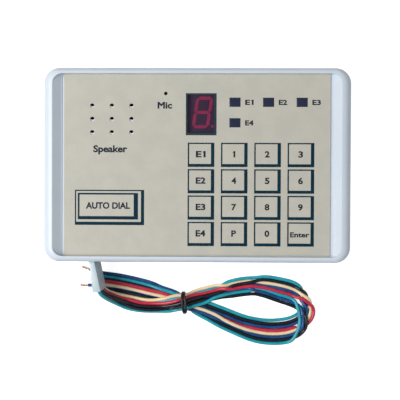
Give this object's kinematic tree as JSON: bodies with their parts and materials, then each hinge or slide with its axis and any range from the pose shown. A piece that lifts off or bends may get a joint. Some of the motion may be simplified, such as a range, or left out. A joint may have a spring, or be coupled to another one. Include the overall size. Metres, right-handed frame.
{
  "type": "alarm dialler keypad panel",
  "caption": "White wall-mount alarm dialler panel with a recessed printed membrane keypad, a digit display, indicator windows, speaker and microphone holes and a tied wire harness.",
  "frame": {"origin": "middle of the rear face of the casing, on the wall or table surface", "axes": "+X along the long side towards the right-hand key column, +Y towards the top of the legends, +Z out of the keypad face"},
  "size_m": [0.135, 0.1247, 0.026],
  "materials": {
    "case_white": "satin moulded ABS, fine spark texture",
    "overlay_beige": "matt printed polycarbonate film, warm light grey with dark teal print",
    "display_filter": "smoked violet window, smooth",
    "display_red": "translucent red segments, unlit or dimly lit",
    "lamp_window": "dark navy window, smooth",
    "print_teal": "screen-printed ink, matt",
    "print_grey": "screen-printed ink, matt",
    "component_black": "moulded epoxy, matt",
    "board_green": "solder mask, satin",
    "relay_blue": "moulded, satin",
    "transformer_tape": "polyester tape",
    "speaker_grey": "moulded, matt",
    "speaker_paper": "pressed paper",
    "screw_steel": "zinc plated",
    "tie_rubber": "smooth black",
    "plug_nylon": "natural white nylon, satin",
    "wire_teal": "PVC insulation, satin",
    "wire_black": "PVC insulation, satin",
    "wire_navy": "PVC insulation, satin",
    "wire_blue": "PVC insulation, satin",
    "wire_red": "PVC insulation, satin",
    "wire_beige": "PVC insulation, satin",
    "wire_copper": "tinned copper strands, bare"
  },
  "bodies": {
    "root": {"front_cover": "case_white", "rear_cover": "case_white", "case_screw_bottom_left": "screw_steel", "case_screw_top_left": "screw_steel", "case_screw_bottom_right": "screw_steel", "case_screw_top_right": "screw_steel", "overlay_film": "overlay_beige", "switch_e1": "component_black", "switch_1": "component_black", "switch_2": "component_black", "switch_3": "component_black", "switch_e2": "component_black", "switch_4": "component_black", "switch_5": "component_black", "switch_6": "component_black", "switch_e3": "component_black", "switch_7": "component_black", "switch_8": "component_black", "switch_9": "component_black", "switch_e4": "component_black", "switch_p": "component_black", "switch_0": "component_black", "switch_enter": "component_black", "display_filter": "display_filter", "display_module": "component_black", "lamp_e1": "lamp_window", "lamp_e2": "lamp_window", "lamp_e3": "lamp_window", "lamp_e4": "lamp_window", "speaker_frame": "speaker_grey", "speaker_cone": "speaker_paper", "speaker_magnet": "screw_steel", "mic_boot": "tie_rubber", "microphone": "screw_steel", "main_board": "board_green", "controller_chip": "component_black", "relay": "relay_blue", "line_transformer": "transformer_tape", "harness_header": "plug_nylon", "riser_board": "board_green", "harness_plug": "plug_nylon", "wire_hank": "wire_teal", "wire_tie": "tie_rubber"},
    "key_e1": {"key_e1": "overlay_beige"},
    "key_1": {"key_1": "overlay_beige"},
    "key_2": {"key_2": "overlay_beige"},
    "key_3": {"key_3": "overlay_beige"},
    "key_e2": {"key_e2": "overlay_beige"},
    "key_4": {"key_4": "overlay_beige"},
    "key_5": {"key_5": "overlay_beige"},
    "key_6": {"key_6": "overlay_beige"},
    "key_e3": {"key_e3": "overlay_beige"},
    "key_7": {"key_7": "overlay_beige"},
    "key_8": {"key_8": "overlay_beige"},
    "key_9": {"key_9": "overlay_beige"},
    "key_e4": {"key_e4": "overlay_beige"},
    "key_p": {"key_p": "overlay_beige"},
    "key_0": {"key_0": "overlay_beige"},
    "key_enter": {"key_enter": "overlay_beige"}
  },
  "joints": [
    {"name": "key_e1_press", "type": "slide", "parent": "root", "child": "key_e1", "axis": [0, 0, -1], "range_m": [0, 0.0004], "stiffness_N_per_m": 2500},
    {"name": "key_1_press", "type": "slide", "parent": "root", "child": "key_1", "axis": [0, 0, -1], "range_m": [0, 0.0004], "stiffness_N_per_m": 2500},
    {"name": "key_2_press", "type": "slide", "parent": "root", "child": "key_2", "axis": [0, 0, -1], "range_m": [0, 0.0004], "stiffness_N_per_m": 2500},
    {"name": "key_3_press", "type": "slide", "parent": "root", "child": "key_3", "axis": [0, 0, -1], "range_m": [0, 0.0004], "stiffness_N_per_m": 2500},
    {"name": "key_e2_press", "type": "slide", "parent": "root", "child": "key_e2", "axis": [0, 0, -1], "range_m": [0, 0.0004], "stiffness_N_per_m": 2500},
    {"name": "key_4_press", "type": "slide", "parent": "root", "child": "key_4", "axis": [0, 0, -1], "range_m": [0, 0.0004], "stiffness_N_per_m": 2500},
    {"name": "key_5_press", "type": "slide", "parent": "root", "child": "key_5", "axis": [0, 0, -1], "range_m": [0, 0.0004], "stiffness_N_per_m": 2500},
    {"name": "key_6_press", "type": "slide", "parent": "root", "child": "key_6", "axis": [0, 0, -1], "range_m": [0, 0.0004], "stiffness_N_per_m": 2500},
    {"name": "key_e3_press", "type": "slide", "parent": "root", "child": "key_e3", "axis": [0, 0, -1], "range_m": [0, 0.0004], "stiffness_N_per_m": 2500},
    {"name": "key_7_press", "type": "slide", "parent": "root", "child": "key_7", "axis": [0, 0, -1], "range_m": [0, 0.0004], "stiffness_N_per_m": 2500},
    {"name": "key_8_press", "type": "slide", "parent": "root", "child": "key_8", "axis": [0, 0, -1], "range_m": [0, 0.0004], "stiffness_N_per_m": 2500},
    {"name": "key_9_press", "type": "slide", "parent": "root", "child": "key_9", "axis": [0, 0, -1], "range_m": [0, 0.0004], "stiffness_N_per_m": 2500},
    {"name": "key_e4_press", "type": "slide", "parent": "root", "child": "key_e4", "axis": [0, 0, -1], "range_m": [0, 0.0004], "stiffness_N_per_m": 2500},
    {"name": "key_p_press", "type": "slide", "parent": "root", "child": "key_p", "axis": [0, 0, -1], "range_m": [0, 0.0004], "stiffness_N_per_m": 2500},
    {"name": "key_0_press", "type": "slide", "parent": "root", "child": "key_0", "axis": [0, 0, -1], "range_m": [0, 0.0004], "stiffness_N_per_m": 2500},
    {"name": "key_enter_press", "type": "slide", "parent": "root", "child": "key_enter", "axis": [0, 0, -1], "range_m": [0, 0.0004], "stiffness_N_per_m": 2500}
  ]
}
